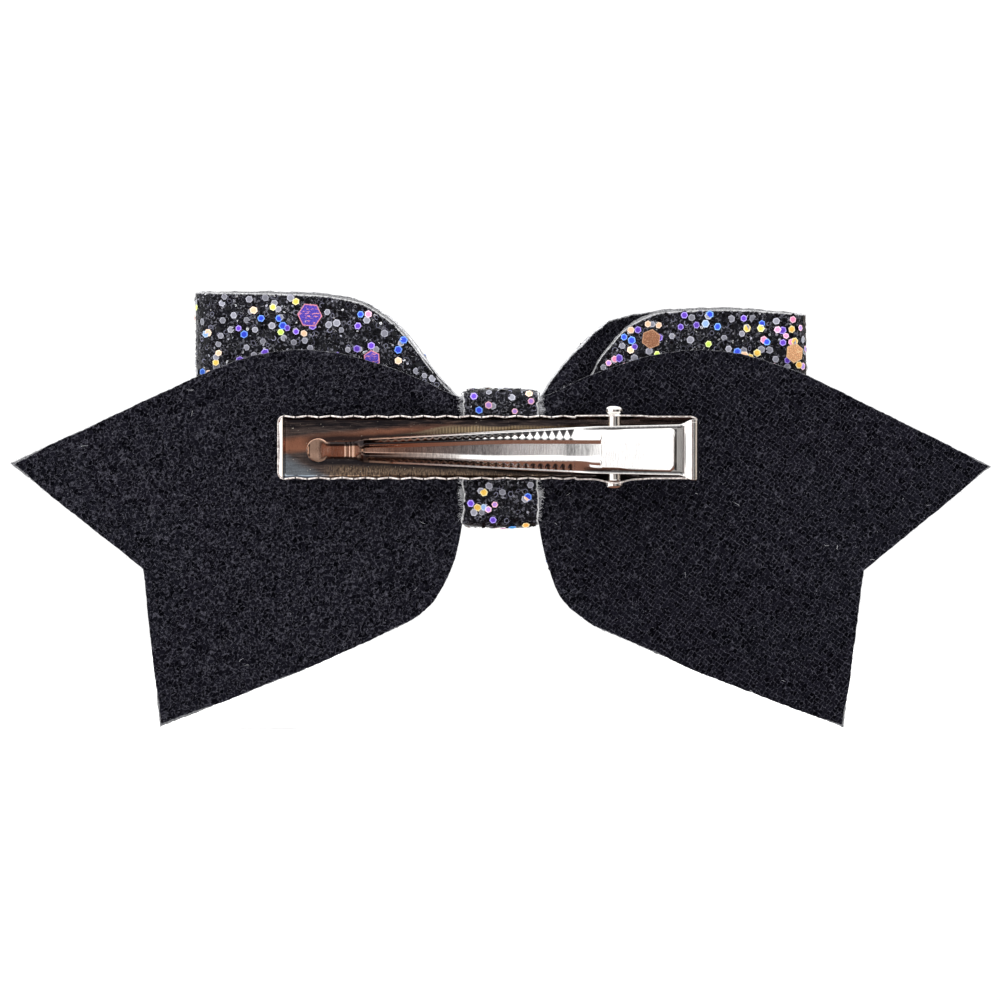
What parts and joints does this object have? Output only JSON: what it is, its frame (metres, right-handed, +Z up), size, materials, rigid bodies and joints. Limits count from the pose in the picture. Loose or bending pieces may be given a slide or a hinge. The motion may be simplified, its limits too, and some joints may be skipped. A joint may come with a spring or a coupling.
{
  "type": "cheer hair bow",
  "caption": "Glitter-faced hair bow with swallow-tail ends, folded loops and a wrapped centre band, glued to a sprung single-prong alligator clip.",
  "frame": {"origin": "on the clip base's inner floor, where the hair lies, straight behind the middle of the knot", "axes": "+X along the clip from its thumb end to its prong's tip, +Y out of the back of the bow towards the wearer's head, +Z up as worn, tails hanging down"},
  "size_m": [0.1312, 0.0239, 0.057],
  "materials": {
    "glitter_fabric": "coarse glitter flakes in a clear coat",
    "knit_fabric": "fine matt knit",
    "hot_melt_glue": "cloudy",
    "plated_steel": "bright nickel plate",
    "spring_steel": "plain spring wire"
  },
  "bodies": {
    "bow": {"tails_glitter_face": "glitter_fabric", "tails_knit_backing": "knit_fabric", "loops_glitter_face": "glitter_fabric", "loops_knit_backing": "knit_fabric", "band_glitter_face": "glitter_fabric", "band_knit_backing": "knit_fabric", "glue_loop_seam": "hot_melt_glue", "glue_loops_to_tails": "hot_melt_glue", "glue_clip_to_band": "hot_melt_glue", "clip_base": "plated_steel", "pivot_pin": "plated_steel", "clip_spring": "spring_steel"},
    "lever": {"clip_lever": "plated_steel"}
  },
  "joints": [
    {"name": "lever_pivot", "type": "hinge", "parent": "bow", "child": "lever", "pos_m": [-0.01525, 0.0042, 0.0014], "axis": [0, 0, 1], "range_deg": [0, 28], "stiffness_Nm_per_rad": 0.03, "springref_deg": -44.98, "deforming": ["clip_spring"]}
  ]
}
